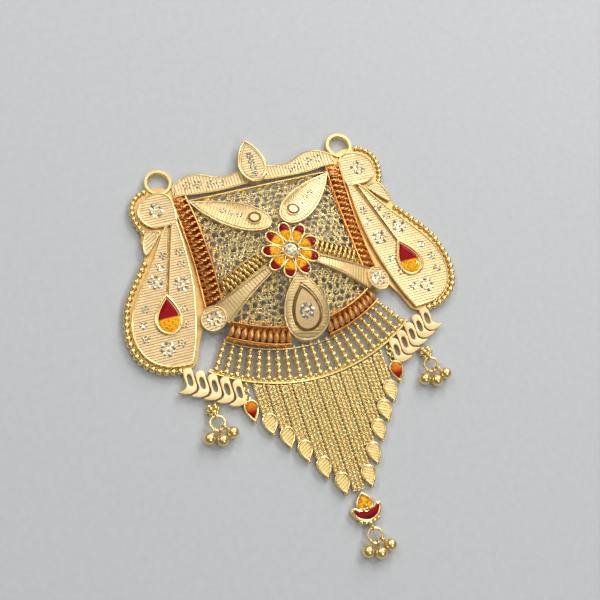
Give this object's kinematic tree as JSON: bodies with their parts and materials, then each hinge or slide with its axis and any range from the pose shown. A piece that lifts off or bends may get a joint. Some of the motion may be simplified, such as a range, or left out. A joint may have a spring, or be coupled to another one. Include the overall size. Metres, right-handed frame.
{
  "type": "mangalsutra pendant",
  "caption": "Gold pendant of a mangalsutra: engraved wings and crest round a domed net panel with an enamel flower, a bead lattice, a chain fringe and ball drops.",
  "frame": {"origin": "centre of the pendant's outline, on the surface that its flat back lies on", "axes": "+Y up the pendant towards its bails, +X to the right seen from the front, +Z out of its front"},
  "size_m": [0.0558, 0.0708, 0.0072],
  "materials": {
    "gold": "polished yellow gold",
    "pale_gold": "matt pale gold with engraved lines and bright cuts",
    "copper": "reddish tinted twisted wire",
    "red_enamel": "glossy enamel",
    "yellow_enamel": "glossy enamel",
    "clear_stone": "faceted clear stone"
  },
  "bodies": {
    "root": {"right_wing": "pale_gold", "right_teardrop_enamel": "red_enamel", "left_wing": "pale_gold", "left_teardrop_enamel": "red_enamel", "crest": "pale_gold", "dome_panel": "pale_gold", "right_side_coil": "copper", "right_lower_coil": "copper", "right_upper_coil": "gold", "left_side_coil": "copper", "left_lower_coil": "copper", "left_upper_coil": "gold", "flower_setting": "gold", "petal_enamel_1": "red_enamel", "petal_enamel_2": "red_enamel", "petal_enamel_3": "red_enamel", "petal_enamel_4": "red_enamel", "petal_enamel_5": "red_enamel", "petal_enamel_6": "red_enamel", "petal_enamel_7": "red_enamel", "petal_enamel_8": "red_enamel", "petal_enamel_9": "red_enamel", "centre_stone": "clear_stone", "bead_lattice": "gold", "right_slats": "pale_gold", "left_slats": "pale_gold", "chain_fringe": "gold", "right_leaf_1": "gold", "left_leaf_1": "gold", "right_leaf_2": "gold", "left_leaf_2": "gold", "right_leaf_3": "gold", "left_leaf_3": "gold", "right_leaf_4": "gold", "left_leaf_4": "gold", "right_leaf_5": "gold", "left_leaf_5": "gold", "right_drop_setting": "gold", "right_drop_enamel": "red_enamel", "left_drop_setting": "gold", "left_drop_enamel": "red_enamel", "lotus_setting": "gold", "lotus_enamel_yellow": "yellow_enamel", "lotus_enamel_red": "red_enamel", "right_cluster": "gold", "right_jump_ring": "gold", "left_cluster": "gold", "left_jump_ring": "gold", "centre_jump_ring": "gold", "right_ball_1": "gold", "left_ball_1": "gold", "centre_ball_1": "gold", "right_ball_2": "gold", "left_ball_2": "gold", "centre_ball_2": "gold", "right_ball_3": "gold", "left_ball_3": "gold", "centre_ball_3": "gold"}
  },
  "joints": []
}
